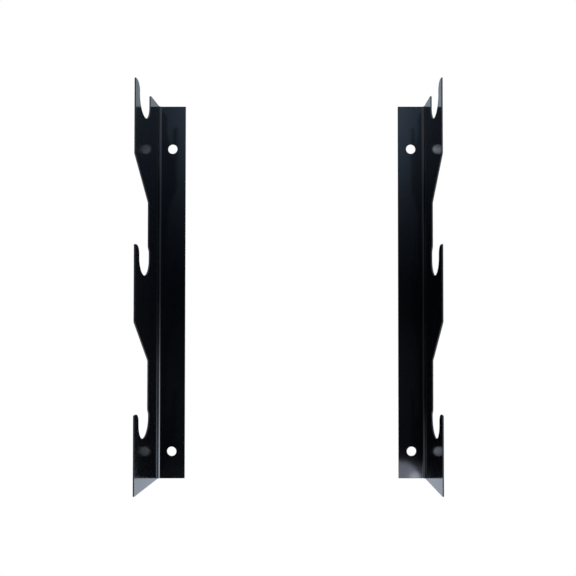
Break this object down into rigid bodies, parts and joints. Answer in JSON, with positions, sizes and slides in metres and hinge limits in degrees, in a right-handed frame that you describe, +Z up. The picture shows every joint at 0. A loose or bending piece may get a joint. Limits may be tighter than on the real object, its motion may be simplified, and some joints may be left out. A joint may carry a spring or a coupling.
{
  "type": "barbell storage rack",
  "caption": "Wall-mounted barbell storage rack of mirrored folded-steel uprights, whose hooked flanges hold bars across them in open half-round cradles.",
  "frame": {"origin": "on the wall plane, in the middle of the four fixing holes of the two uprights", "axes": "+X to the right for someone who faces the wall, +Y into the wall, +Z up; the rack lies in front of the wall, at negative Y"},
  "size_m": [0.4556, 0.127, 0.6323],
  "materials": {
    "black_powder_coat": "glossy black powder coat on folded steel plate"
  },
  "bodies": {
    "root": {"left_upright": "black_powder_coat", "right_upright": "black_powder_coat"}
  },
  "joints": []
}
